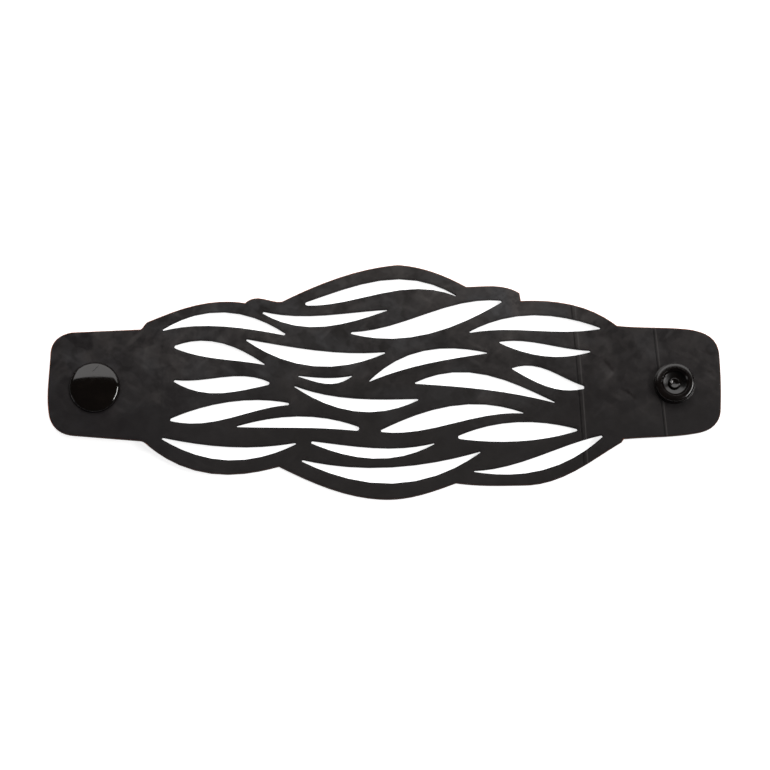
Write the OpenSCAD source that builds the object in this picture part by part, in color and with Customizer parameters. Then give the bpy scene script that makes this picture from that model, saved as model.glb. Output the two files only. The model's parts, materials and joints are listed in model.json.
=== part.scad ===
// Open rubber bracelet: a pierced sheet strap with a two-part snap at each end.
// It lies face up. +X runs along the strap, +Y across it, +Z up, and the origin is the middle of the floor under it.

/* [Strap] */
// Overall length of the open strap
strap_l = 190; // [170:1:210]
// Width across the widest lobes
strap_w = 67.5; // [60:0.5:75]
// Thickness of the rubber sheet
sheet_t = 1.5; // [1:0.1:2]

/* [How it lies] */
// Distance from the middle of the strap to each snap's axis
snap_x = 81.8; // [76:0.1:86]
// Sideways place of the left snap
left_y = -2.4; // [-3:0.1:3]
// Sideways place of the right snap
right_y = -1.1; // [-3:0.1:3]
// Half length of the level tab round each snap
tab_level = 8; // [7:0.1:9]
// Length over which the strap comes down from the left tab to the floor
left_fall = 42; // [30:1:48]
// Length over which the strap comes down from the right tab to the floor
right_fall = 34; // [25:1:42]

/* [Caps] */
// Diameter of each domed cap
cap_d = 14.4; // [13:0.1:15.5]
// Height of a cap's straight edge
cap_edge = 0.5; // [0.3:0.1:0.8]
// Rise of a cap's dome above that edge
cap_dome = 1.4; // [1:0.1:1.8]
// Diameter of the pin that goes through the rubber
pin_d = 1.8; // [1.6:0.1:2.2]
// Diameter of the pin's flattened head
head_d = 3.3; // [3:0.1:3.6]

/* [Stud] */
// Diameter of the stud's flange
stud_flange_d = 11.3; // [10:0.1:12]
// Diameter of the stud's bulge, which snaps into a socket
bulge_d = 6.3; // [6:0.1:6.6]
// Height of the whole stud
stud_h = 3.5; // [3:0.1:4]

/* [Socket] */
// Diameter of the socket's foot
socket_d = 11.6; // [11:0.1:12.4]
// Diameter of the ring's crest
crest_d = 10.1; // [9.8:0.1:10.4]
// Diameter of the lip that holds a stud
lip_d = 6.5; // [6.2:0.1:6.8]
// Height of the whole socket
socket_h = 3.2; // [2.8:0.1:3.6]

/* [Hidden] */

// Facets round a turned part, round the shallow dome, and along each bend of the strap
$fn = 96;
dome_fn = 720;
bend_steps = 8;
// Play between pieces that meet, and how far a cutting shape reaches past what it cuts
gap = 0.05;
past = 1;
// Facets along one edge of an opening or lobe, and round the tip of an opening
edge_steps = 12;
tip_steps = 4;
// Drawn size of the outline and openings below, which the strap is scaled from
drawn_l = 190;
drawn_w = 67.5;

// Outline of the strap, clockwise from the left tab, a row for each stretch between two corners.
// Each row's stretch bows out from its chord by bow_a and bow_b at one and two thirds of the way.
// x, y, bow_a, bow_b
OUTLINE = [
    [-88.7, 13.4, 0, 0],
    [-69.1, 14.3, 0.1, 0.3],
    [-66.6, 16.7, 1.6, 2],
    [-39.8, 22.6, 1.3, 0.5],
    [-29.2, 23.1, 1.4, 1.6],
    [3.7, 33.75, 1.1, 1],
    [23.2, 27.4, 0.8, 1.2],
    [38.4, 25.6, 0, 0],
    [38.8, 23.3, 2.3, 2.5],
    [65.9, 15.7, -0.1, 0.1],
    [86.5, 14.6, 2, 2.3],
    [94.8, 6.8, 0.2, 0.2],
    [94.8, -8.7, 1.4, 1.3],
    [89.1, -14.9, 0.4, 0.2],
    [67.4, -16.8, 0, 0],
    [66.8, -17.7, 1.5, 2.2],
    [39.1, -29.7, 0.3, 0.4],
    [20.1, -29.1, 0.8, 1],
    [0.1, -33.75, 1.7, 1.4],
    [-29.9, -24.4, 4.1, 4.5],
    [-66.3, -19.1, -0.2, -0.3],
    [-69, -17.6, 0, 0],
    [-86.7, -16.2, 2, 2.1],
    [-94.7, -9.2, 0.4, 0.2],
    [-94.5, 7.3, 1.5, 1.4]
];

// Openings, a row for each: its left tip, its right tip, how far its upper and lower edges stand
// above the line between the tips at one and two thirds of the way, and the radii of its tips.
// x1, y1, x2, y2, up_a, up_b, low_a, low_b, tip_1, tip_2
OPENINGS = [
    [-63, 14.3, -28.3, 13.7, 5.3, 5.3, 1.6, 1.3, 0.3, 0.4],
    [-59.6, 9.6, -34.1, 4.9, 3.6, 3.1, -1.2, -0.6, 0.6, 0.2],
    [-59.6, -0.4, -32.7, -0.5, 0.9, 2, -3.1, -2.5, 0.4, 0.6],
    [-60.5, -11.5, -27.1, -6.4, 2.7, 2.8, -2.1, -0.9, 0.5, 0.4],
    [-62.7, -16.9, -25.1, -17.9, -1.2, -1.3, -4.8, -4.7, 0.3, 0.3],
    [-41.8, -13, -7.2, -13.5, 2.8, 3.1, -0.1, -0.1, 0.2, 0.7],
    [-34.8, 19.8, 0.7, 20.6, -1.1, -0.6, -4.3, -3.5, 0.4, 0.2],
    [-39.4, 11.9, 0.1, 8.2, -0.7, -1, -5.1, -5.1, 0.3, 0.3],
    [-24.5, 1.5, -9.3, 1.5, -0.3, -0.4, -1.7, -2.2, 0.2, 0.2],
    [-25.6, -1.5, 9.5, -5.3, -1.5, -1.1, -4.5, -4.8, 0.2, 0.3],
    [-20.8, -17.5, 14, -17.9, -0.9, -1.4, -3.8, -4.1, 0.4, 0.2],
    [-23.4, -22.8, 27, -20.3, -2.7, -2.6, -6.7, -7, 0.3, 0.2],
    [-22.7, 22.5, 20.3, 24.9, 4.5, 5.6, 0.5, 2.5, 0.6, 0.2],
    [-9.6, 13.9, 33.3, 23.2, 0.2, 1.8, -4.6, -4.1, 0.4, 0.4],
    [-4.4, 0.1, 29.1, 8.3, 4.5, 4.2, 0.9, 0.7, 0.2, 0.2],
    [24.1, 14.3, 61.2, 15.1, 4.2, 4, 0.3, -0.5, 0.3, 0.3],
    [32.6, 11.3, 58.3, 8.4, 1.2, 0.6, -2.3, -2.4, 0.3, 0.3],
    [36.1, 3.8, 56.5, -2, 2.5, 1.7, -1.9, -2.4, 0.3, 0.6],
    [8.6, -0.4, 48.1, -6, 5.1, 4.1, 0.6, 0.8, 0.3, 0.2],
    [-1.1, -14.2, 39.2, -9, 3.9, 4.3, -1.2, 0.2, 0.4, 0.2],
    [20.7, -16, 54.4, -14, 3.1, 3, -2, -2, 0.6, 0.4],
    [25.2, -25.8, 61.4, -15.9, -0.9, 0, -4.1, -4.3, 0.2, 0.3]
];

// Levels at the left tab, where the end of the stud stands on the floor
left_low = stud_h + gap;
left_top = left_low + sheet_t;
// Levels at the right tab, where the dome of the back cap stands on the floor
cap_h = cap_edge + cap_dome;
right_low = cap_h + gap;
right_top = right_low + sheet_t;

// Cap: the round between its edge and its dome, and the radius of the dome, which runs into that round
rim_r = 0.55;
rim_x = cap_d / 2 - rim_r;
dome_r = (rim_x * rim_x + cap_dome * cap_dome - rim_r * rim_r) / (2 * (cap_dome - rim_r));

// Pin: the play round it, and its flattened head with a bevelled edge and a dimple
pin_hole_r = pin_d / 2 + 0.1;
head_t = 0.7;
head_bevel = 0.3;
dimple_r = 0.85;
dimple_floor_r = 0.4;
dimple_drop = 0.4;

// Stud: the flange with its bevel, the waist under it, the bulge with its nose, and the hollow for the pin's head
flange_t = 1;
flange_bevel_w = 0.5;
flange_bevel_h = 0.4;
waist_r = bulge_d / 2 - 0.25;
bulge_len = 1;
nose = 0.4;
hollow_r = 2.1;

// Floor that a pin's head is clenched on, and the slope between a waist or groove and the wall that snaps
floor_t = 0.6;
snap_slope = 0.2;

// Socket: the sloping foot, the wall with its round crest, the mouth that leads to the lip, and the groove under it
foot_t = 0.8;
foot_edge = 0.55;
crest_r = 0.45;
crest_land = 0.3;
mouth_r = 3.9;
mouth_edge = 0.15;
mouth_drop = 0.75;
lip_len = 0.8;
groove_r = lip_d / 2 + 0.2;
wall_r = crest_d / 2 + crest_r;

// Point on a stretch from a to b, t of the way: a cubic with heights of h0 and h1 over its ends and ha and hb
// at one and two thirds of the way, where ca and cb are the heights of its inner control points
function bowed(a, b, t, h0, ha, hb, h1) =
    let (
        along = b - a,
        across = [-along[1], along[0]] / norm(along),
        ca = 3 * ha - 1.5 * hb - 5 / 6 * h0 + h1 / 3,
        cb = 3 * hb - 1.5 * ha + h0 / 3 - 5 / 6 * h1,
        s = 1 - t,
        height = h0 * pow(s, 3) + 3 * ca * s * s * t + 3 * cb * s * t * t + h1 * pow(t, 3)
    )
    a + along * t + across * height;

// How far along its chord point i of an edge is: the points stand closer together near the ends
function eased(i, steps) = (1 - cos(180 * i / steps)) / 2;

// Points of one stretch of the outline, without its last one
function stretch_points(row, next) =
    let (straight = row[2] == 0 && row[3] == 0, steps = straight ? 1 : edge_steps)
    [
        for (i = [0 : steps - 1])
            bowed([row[0], row[1]], [next[0], next[1]], eased(i, steps), 0, row[2], row[3], 0)
    ];

// Points of the half circle round a tip, from angle start, turning clockwise
function tip_points(centre, r, start) =
    [for (i = [1 : tip_steps - 1]) centre + r * [cos(start - 180 * i / tip_steps), sin(start - 180 * i / tip_steps)]];

// Points round one opening
function opening_points(row) =
    let (
        tip_1 = [row[0], row[1]],
        tip_2 = [row[2], row[3]],
        way = (tip_2 - tip_1) / norm(tip_2 - tip_1),
        turn = atan2(way[1], way[0]),
        a = tip_1 + way * row[8],
        b = tip_2 - way * row[9]
    )
    concat(
        [for (i = [0 : edge_steps]) bowed(a, b, eased(i, edge_steps), row[8], row[4], row[5], row[9])],
        tip_points(b, row[9], turn + 90),
        [for (i = [edge_steps : -1 : 0]) bowed(a, b, eased(i, edge_steps), -row[8], row[6], row[7], -row[9])],
        tip_points(a, row[8], turn - 90)
    );

// Plan of the strap with its openings cut out
module strap_plan() {
    scale([strap_l / drawn_l, strap_w / drawn_w])
        difference() {
            polygon([
                for (i = [0 : len(OUTLINE) - 1])
                    each stretch_points(OUTLINE[i], OUTLINE[(i + 1) % len(OUTLINE)])
            ]);
            for (row = OPENINGS)
                polygon(opening_points(row));
        }
}

// Points along a rise that starts level at x = 0 and ends level, up above its lower face: two equal bends
function rise_points(high, long, up) =
    let (bend = (long * long + high * high) / (4 * high), turn = asin(long / 2 / bend))
    concat(
        [
            for (i = [0 : bend_steps])
                let (a = turn * i / bend_steps, r = bend - up)
                [r * sin(a), bend - r * cos(a)]
        ],
        [
            for (i = [bend_steps - 1 : -1 : 0])
                let (a = turn * i / bend_steps, r = bend + up)
                [long - r * sin(a), high - bend + r * cos(a)]
        ]
    );

// Points along the strap as it lies, from left to right, up above its lower face
function lie_points(up) =
    let (
        left = rise_points(left_low, left_fall, up),
        right = rise_points(right_low, right_fall, up),
        left_foot = -snap_x + tab_level + left_fall,
        right_foot = snap_x - tab_level - right_fall
    )
    concat(
        [[-strap_l, left_low + up]],
        [for (i = [len(left) - 1 : -1 : 0]) [left_foot - left[i][0], left[i][1]]],
        [for (point = right) [right_foot + point[0], point[1]]],
        [[strap_l, right_low + up]]
    );

// Side of the strap as it lies: level on the floor, with a rise to the level tab at each end
module strap_side() {
    under = lie_points(0);
    over = lie_points(sheet_t);
    polygon(concat(under, [for (i = [len(over) - 1 : -1 : 0]) over[i]]));
}

// Strap: the plan cut from the sheet as it lies, with a hole for each pin
module strap() {
    tall = left_top + 2 * past;
    color("#2d2b2b")
        difference() {
            intersection() {
                translate([0, 0, -past])
                    linear_extrude(height = tall)
                        strap_plan();
                rotate([90, 0, 0])
                    linear_extrude(height = strap_w + 2 * past, center = true)
                        strap_side();
            }
            for (place = [[-snap_x, left_y], [snap_x, right_y]])
                translate([place[0], place[1], -past])
                    cylinder(r = pin_hole_r, h = tall);
        }
}

// Half section of a cap below its flat side: its edge, its dome and the round between them
module cap_section() {
    round_x = rim_x * dome_r / (dome_r - rim_r);
    translate([0, -cap_edge])
        square([cap_d / 2, cap_edge]);
    intersection() {
        translate([0, dome_r - cap_h])
            circle(r = dome_r, $fn = dome_fn);
        translate([0, -cap_h])
            square([round_x, cap_h]);
    }
    intersection() {
        translate([rim_x, -cap_edge])
            circle(r = rim_r);
        translate([0, -cap_h])
            square([cap_d / 2, cap_dome]);
    }
}

// Half section of a pin of the given length and of its flattened head
module pin_section(pin_l) {
    head_r = head_d / 2;
    square([pin_d / 2, pin_l]);
    translate([0, pin_l])
        polygon([
            [0, 0],
            [head_r, 0],
            [head_r, head_t - head_bevel],
            [head_r - head_bevel, head_t],
            [dimple_r, head_t],
            [dimple_floor_r, head_t - dimple_drop],
            [0, head_t - dimple_drop]
        ]);
}

// Cap dome down, its flat side at z = 0 and its pin up, which goes through the rubber and the other half's floor
module cap() {
    rotate_extrude()
        union() {
            cap_section();
            pin_section(gap + sheet_t + gap + floor_t + gap);
        }
}

// Cap on top of the left tab, its pin clenched in the stud
module front_cap() {
    color("#151414")
        translate([-snap_x, left_y, left_top + gap])
            mirror([0, 0, 1])
                cap();
}

// Stud under the left tab, standing on its end
module stud() {
    color("#1c1b1b")
        translate([-snap_x, left_y, 0])
            rotate_extrude()
                polygon([
                    [pin_hole_r, stud_h],
                    [stud_flange_d / 2, stud_h],
                    [stud_flange_d / 2, stud_h - flange_t + flange_bevel_h],
                    [stud_flange_d / 2 - flange_bevel_w, stud_h - flange_t],
                    [waist_r, stud_h - flange_t],
                    [waist_r, nose + bulge_len + snap_slope],
                    [bulge_d / 2, nose + bulge_len],
                    [bulge_d / 2, nose],
                    [bulge_d / 2 - nose, 0],
                    [hollow_r, 0],
                    [hollow_r, stud_h - floor_t],
                    [pin_hole_r, stud_h - floor_t]
                ]);
}

// Socket on top of the right tab, its mouth up
module socket() {
    mouth_z = socket_h - mouth_drop;
    color("#1c1b1b")
        translate([snap_x, right_y, right_top + gap])
            rotate_extrude()
                union() {
                    polygon([
                        [pin_hole_r, 0],
                        [socket_d / 2, 0],
                        [socket_d / 2, foot_edge],
                        [wall_r, foot_t],
                        [wall_r, socket_h - crest_r],
                        [crest_d / 2, socket_h],
                        [crest_d / 2 - crest_land, socket_h],
                        [mouth_r, socket_h - mouth_edge],
                        [lip_d / 2, mouth_z],
                        [lip_d / 2, mouth_z - lip_len],
                        [groove_r, mouth_z - lip_len - snap_slope],
                        [groove_r, floor_t],
                        [pin_hole_r, floor_t]
                    ]);
                    translate([crest_d / 2, socket_h - crest_r])
                        circle(r = crest_r);
                }
}

// Cap under the right tab, its pin clenched in the socket
module back_cap() {
    color("#151414")
        translate([snap_x, right_y, cap_h])
            cap();
}

strap();
front_cap();
stud();
socket();
back_cap();
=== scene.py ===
"""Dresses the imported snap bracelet: its pierced rubber strap, its two domed caps, its stud and its socket.

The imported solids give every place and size. Lengths in the classes below are in millimetres, unless a
docstring says otherwise.
"""
from __future__ import annotations

import json
import logging
import math
from collections.abc import Callable
from dataclasses import dataclass, field
from enum import Enum

import bpy
import numpy as np
from bpy.types import Material, MeshEdge, MeshPolygon, Node, NodeSocket, Object
from mathutils import Matrix, Quaternion, Vector

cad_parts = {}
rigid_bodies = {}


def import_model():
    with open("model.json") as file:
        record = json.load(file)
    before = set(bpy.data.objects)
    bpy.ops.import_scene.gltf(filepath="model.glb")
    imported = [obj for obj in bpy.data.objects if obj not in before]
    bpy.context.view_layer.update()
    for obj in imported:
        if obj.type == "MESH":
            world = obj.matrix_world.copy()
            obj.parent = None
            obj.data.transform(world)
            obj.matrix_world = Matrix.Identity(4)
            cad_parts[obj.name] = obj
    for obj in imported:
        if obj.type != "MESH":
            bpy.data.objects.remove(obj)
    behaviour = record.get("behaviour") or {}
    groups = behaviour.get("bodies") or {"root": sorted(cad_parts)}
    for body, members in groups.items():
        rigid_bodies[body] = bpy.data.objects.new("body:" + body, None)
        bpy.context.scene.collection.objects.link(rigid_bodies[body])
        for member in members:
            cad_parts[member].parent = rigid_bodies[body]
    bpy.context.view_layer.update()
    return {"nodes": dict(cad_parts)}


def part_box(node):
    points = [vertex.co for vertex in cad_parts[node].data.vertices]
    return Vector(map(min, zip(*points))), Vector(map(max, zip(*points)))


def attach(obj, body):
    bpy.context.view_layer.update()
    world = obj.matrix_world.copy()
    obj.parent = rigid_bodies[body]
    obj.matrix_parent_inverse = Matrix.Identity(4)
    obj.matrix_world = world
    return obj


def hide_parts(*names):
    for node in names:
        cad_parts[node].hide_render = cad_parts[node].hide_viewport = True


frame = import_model()

MM = 0.001
SAME_PLACE = 0.002 * MM
LOG = logging.getLogger("bracelet")
Colour = tuple[float, float, float]
Place = tuple[float, float, float]
Point = tuple[float, float]


class Slot(Enum):
    """The finishes that the record names."""

    RUBBER = "rubber_sheet"
    CAP = "cap_plastic"
    SNAP = "snap_plastic"


class Pick(Enum):
    """What edit mode selects."""

    CORNERS = "VERT"
    EDGES = "EDGE"
    FACES = "FACE"


def arc(centre: Point, radius: float, start_deg: float, end_deg: float, steps: int) -> list[Point]:
    """Returns points in equal steps along an arc round a centre, from one angle to another."""
    angles = [math.radians(start_deg + (end_deg - start_deg) * i / steps) for i in range(steps + 1)]
    return [(centre[0] + radius * math.cos(a), centre[1] + radius * math.sin(a)) for a in angles]


class Bench:
    """Small helpers round Blender's modelling operators."""

    @staticmethod
    def clear_selection() -> None:
        """Leaves edit mode and deselects every object."""
        if bpy.context.object and bpy.context.object.mode != "OBJECT":
            bpy.ops.object.mode_set(mode="OBJECT")
        for each in bpy.context.selected_objects:
            each.select_set(False)

    @staticmethod
    def take(piece: Object) -> None:
        """Makes one object the only selected and active one.

        Args:
            piece: The object to take.
        """
        Bench.clear_selection()
        piece.select_set(True)
        bpy.context.view_layer.objects.active = piece

    @staticmethod
    def edit(piece: Object, pick: Pick = Pick.CORNERS) -> None:
        """Opens a piece in edit mode with nothing selected.

        Args:
            piece: The mesh object to edit.
            pick: What is to be selected.
        """
        Bench.take(piece)
        bpy.ops.object.mode_set(mode="EDIT")
        bpy.ops.mesh.select_mode(type=pick.value)
        bpy.ops.mesh.select_all(action="DESELECT")

    @staticmethod
    def done() -> None:
        """Leaves edit mode."""
        bpy.ops.object.mode_set(mode="OBJECT")

    @staticmethod
    def select(piece: Object, pick: Pick, test: Callable[[MeshPolygon | MeshEdge], bool]) -> None:
        """Selects the faces or edges that pass a test, from object mode, and opens edit mode on them.

        Args:
            piece: The mesh object.
            pick: FACES or EDGES.
            test: Says of a face or an edge whether it is wanted.
        """
        Bench.edit(piece, pick)
        Bench.done()
        for part in piece.data.polygons if pick is Pick.FACES else piece.data.edges:
            part.select = test(part)
        bpy.ops.object.mode_set(mode="EDIT")

    @staticmethod
    def triangulate() -> None:
        """Divides all faces of the piece in edit mode into triangles, and leaves edit mode."""
        bpy.ops.mesh.select_all(action="SELECT")
        bpy.ops.mesh.quads_convert_to_tris(quad_method="BEAUTY", ngon_method="BEAUTY")
        Bench.done()

    @staticmethod
    def smooth(piece: Object, angle_deg: float) -> None:
        """Shades a piece smooth, apart from edges sharper than an angle."""
        Bench.take(piece)
        bpy.ops.object.shade_smooth_by_angle(angle=math.radians(angle_deg))

    @staticmethod
    def corners(piece: Object) -> np.ndarray:
        """Reads a mesh's vertices.

        Args:
            piece: The mesh object.

        Returns:
            Their places in metres, a row for each.
        """
        flat = np.empty(len(piece.data.vertices) * 3, np.float64)
        piece.data.vertices.foreach_get("co", flat)
        return flat.reshape(-1, 3)

    @staticmethod
    def place_corners(piece: Object, places: np.ndarray) -> None:
        """Moves a mesh's vertices to the rows of an array of three columns, in metres."""
        piece.data.vertices.foreach_set("co", places.astype(np.float32).ravel())
        piece.data.update()


@dataclass(frozen=True)
class Grain:
    """A cloudy pattern: repeats a metre, finer layers, their strength, its warp, and its share.

    low and high are what becomes 0 and the share.
    """

    scale: float
    detail: float
    rough: float
    warp: float = 0.0
    low: float = 0.0
    high: float = 1.0
    share: float = 1.0


@dataclass(frozen=True)
class Patches:
    """Irregular patches: how many a metre, their offset, turn, stretch and share.

    Their borders have a number of bends for each patch, wander so far, and are so soft.
    """

    scale: float
    offset: Place
    turn_deg: float
    stretch: Place
    share: float
    bends: float = 1.3
    wander: float = 1.2
    soft: float = 0.3


@dataclass(frozen=True)
class Specks:
    """Scattered specks: how many places for one a metre, their reach, their rarity and their share.

    A speck fades out between the two reaches, in shares of the distance between places. The places are bare
    up to the first rarity, in shares of them all, and full from the second.
    """

    scale: float
    reach: Point
    rarity: Point
    share: float


@dataclass(frozen=True)
class Slope:
    """A value that changes smoothly from low to high, between two places along an axis of the object."""

    axis: str
    start: float
    end: float
    low: float = 0.0
    high: float = 1.0


class Wiring:
    """Builds one material's nodes, a call for each node."""

    def __init__(self, name: str) -> None:
        """Starts a material with its shader and an object coordinate.

        Args:
            name: The material's name.
        """
        self.material = bpy.data.materials.new(name)
        self.material.use_nodes = True
        self.tree = self.material.node_tree
        self.shader = self.tree.nodes["Principled BSDF"]
        self.place = self.add("ShaderNodeTexCoord").outputs["Object"]

    def add(self, kind: str, **settings: object) -> Node:
        """Adds a node.

        Args:
            kind: The node's type.
            **settings: Its own properties.

        Returns:
            The node.
        """
        node = self.tree.nodes.new(kind)
        for name, value in settings.items():
            setattr(node, name, value)
        return node

    def join(self, value: object, socket: NodeSocket) -> None:
        """Feeds a socket from another socket or with a plain value.

        Args:
            value: A socket to link from, or a number, vector or colour.
            socket: The socket to feed.
        """
        if isinstance(value, NodeSocket):
            self.tree.links.new(value, socket)
        else:
            socket.default_value = value

    def tuned(self, node: Node, at: NodeSocket | None, **numbers: float) -> Node:
        """Feeds a texture node.

        Args:
            node: The node.
            at: The coordinate that it reads, or None for the object's own.
            **numbers: The value of each of its other sockets.

        Returns:
            The node.
        """
        self.join(at or self.place, node.inputs["Vector"])
        for name, number in numbers.items():
            node.inputs[name].default_value = number
        return node

    def turned(self, offset: Place = (0, 0, 0), turn_deg: float = 0,
               stretch: Place = (1, 1, 1)) -> NodeSocket:
        """Moves the object coordinate to an offset, turns it about Z and stretches it.

        Args:
            offset: The point that becomes the middle.
            turn_deg: The turn about Z.
            stretch: The scale along each axis after the turn.

        Returns:
            The new coordinate.
        """
        turn = (0, 0, math.radians(turn_deg))
        moves = {"Location": [-v * MM for v in offset], "Rotation": turn, "Scale": stretch}
        at = self.place
        for name, move in moves.items():
            node = self.add("ShaderNodeMapping")
            self.join(at, node.inputs["Vector"])
            self.join(move, node.inputs[name])
            at = node.outputs[0]
        return at

    def noise(self, grain: Grain, at: NodeSocket | None = None) -> NodeSocket:
        """Returns a cloudy pattern from 0 to 1, as it comes."""
        node = self.tuned(self.add("ShaderNodeTexNoise"), at, Scale=grain.scale, Detail=grain.detail,
                          Roughness=grain.rough, Distortion=grain.warp)
        return node.outputs["Fac"]

    def grain(self, grain: Grain) -> NodeSocket:
        """Returns a cloudy pattern spread from 0 to its share."""
        return self.span(self.noise(grain), grain.low, grain.high, 0.0, grain.share)

    def swayed(self, at: NodeSocket, scale: float, wander: float) -> NodeSocket:
        """Pushes a coordinate to and fro by a soft noise.

        Args:
            at: The coordinate to push.
            scale: The noise's size, in repeats a metre.
            wander: How far it is pushed.

        Returns:
            The new coordinate.
        """
        sway = self.tuned(self.add("ShaderNodeTexNoise"), at, Scale=scale, Detail=1)
        shift = self.add("ShaderNodeVectorMath", operation="MULTIPLY_ADD")
        self.join(sway.outputs["Color"], shift.inputs[0])
        self.join([wander * MM] * 3, shift.inputs[1])
        self.join(at, shift.inputs[2])
        return shift.outputs[0]

    def facets(self, patches: Patches) -> NodeSocket:
        """Makes many patches that run softly into one another.

        Args:
            patches: The patches.

        Returns:
            A tone for each patch, from 0 to their share.
        """
        at = self.turned(patches.offset, patches.turn_deg, patches.stretch)
        at = self.swayed(at, patches.bends * patches.scale, patches.wander)
        node = self.add("ShaderNodeTexVoronoi", feature="SMOOTH_F1")
        self.tuned(node, at, Scale=patches.scale, Smoothness=patches.soft)
        return self.math("MULTIPLY", self.axis("X", node.outputs["Color"]), patches.share)

    def spot(self, middle: Place, reach: float, full: float = 0.25) -> NodeSocket:
        """Makes a round spot.

        Args:
            middle: The spot's middle.
            reach: Its radius.
            full: The share of the radius where it is full.

        Returns:
            1 round its middle and 0 from its reach outwards.
        """
        away = self.add("ShaderNodeVectorMath", operation="DISTANCE")
        self.join(self.place, away.inputs[0])
        self.join([v * MM for v in middle], away.inputs[1])
        return self.span(away.outputs["Value"], full * reach * MM, reach * MM, 1.0, 0.0)

    def specks(self, specks: Specks, at: NodeSocket | None = None) -> NodeSocket:
        """Scatters specks.

        Args:
            specks: The specks.
            at: The coordinate that they read, or None for the object's own.

        Returns:
            Their share on them and 0 elsewhere.
        """
        node = self.tuned(self.add("ShaderNodeTexVoronoi", feature="F1"), at, Scale=specks.scale)
        near = self.span(node.outputs["Distance"], *specks.reach, specks.share, 0.0)
        return self.math("MULTIPLY", near, self.span(self.axis("X", node.outputs["Color"]), *specks.rarity))

    def math(self, operation: str, *values: object, clamp: bool = False) -> NodeSocket:
        """Works out an operation on one value, or on several taken in order.

        Args:
            operation: The math node's operation.
            *values: Numbers or sockets.
            clamp: Whether each result stays from 0 to 1.

        Returns:
            The last result.
        """
        result = values[0]
        for value in values[1:] or (0.0,):
            node = self.add("ShaderNodeMath", operation=operation, use_clamp=clamp)
            self.join(result, node.inputs[0])
            self.join(value, node.inputs[1])
            result = node.outputs[0]
        return result

    def span(self, value: NodeSocket, low: float, high: float, to_low: float = 0.0,
             to_high: float = 1.0) -> NodeSocket:
        """Carries a value smoothly from one range to another and holds it at its ends.

        Args:
            value: The socket to carry.
            low: The value that becomes to_low.
            high: The value that becomes to_high.
            to_low: The result's first end.
            to_high: The result's other end.

        Returns:
            The result.
        """
        node = self.add("ShaderNodeMapRange", interpolation_type="SMOOTHSTEP")
        self.join(value, node.inputs["Value"])
        for name, number in {"From Min": low, "From Max": high, "To Min": to_low, "To Max": to_high}.items():
            node.inputs[name].default_value = number
        return node.outputs["Result"]

    def slope(self, slope: Slope, wander: NodeSocket | float = 0.0) -> NodeSocket:
        """Returns the value of a slope, moved to and fro along its axis by a wander in metres."""
        along = self.math("ADD", self.axis(slope.axis), wander)
        return self.span(along, slope.start * MM, slope.end * MM, slope.low, slope.high)

    def blend(self, share: object, a: object, b: object) -> NodeSocket:
        """Mixes two colours.

        Args:
            share: How much of the second, from 0 to 1.
            a: The first colour or socket.
            b: The second colour or socket.

        Returns:
            The colour between them.
        """
        node = self.add("ShaderNodeMix", data_type="RGBA")
        sockets = {each.identifier: each for each in (*node.inputs, *node.outputs)}
        self.join(share, sockets["Factor_Float"])
        for name, value in {"A_Color": a, "B_Color": b}.items():
            self.join(value if isinstance(value, NodeSocket) else (*value, 1), sockets[name])
        return sockets["Result_Color"]

    def axis(self, name: str, at: NodeSocket | None = None) -> NodeSocket:
        """Returns the X, Y or Z of a coordinate, or of the object's own."""
        return self.tuned(self.add("ShaderNodeSeparateXYZ"), at).outputs[name]

    def painted(self, name: str) -> NodeSocket:
        """Returns a number that the mesh carries at each corner, by its name."""
        return self.add("ShaderNodeAttribute", attribute_name=name, attribute_type="GEOMETRY").outputs["Fac"]

    def relief(self, height: NodeSocket, depth_mm: float, strength: float = 1.0,
               over: NodeSocket | None = None) -> NodeSocket:
        """Bumps the surface by a height from 0 to 1.

        Args:
            height: The height.
            depth_mm: The depth that a height of 1 stands for.
            strength: The bump's strength.
            over: A bumped normal to add this one to.

        Returns:
            The bumped normal.
        """
        node = self.add("ShaderNodeBump")
        node.inputs["Strength"].default_value = strength
        node.inputs["Distance"].default_value = depth_mm * MM
        self.join(height, node.inputs["Height"])
        if over is not None:
            self.join(over, node.inputs["Normal"])
        return node.outputs["Normal"]

    def finish(self, **sockets: object) -> Material:
        """Feeds the shader's sockets.

        Args:
            **sockets: A value or socket for each of the shader's inputs, with _ for a space in its name.

        Returns:
            The material.
        """
        for name, value in sockets.items():
            self.join(value, self.shader.inputs[name.replace("_", " ")])
        return self.material


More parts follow.
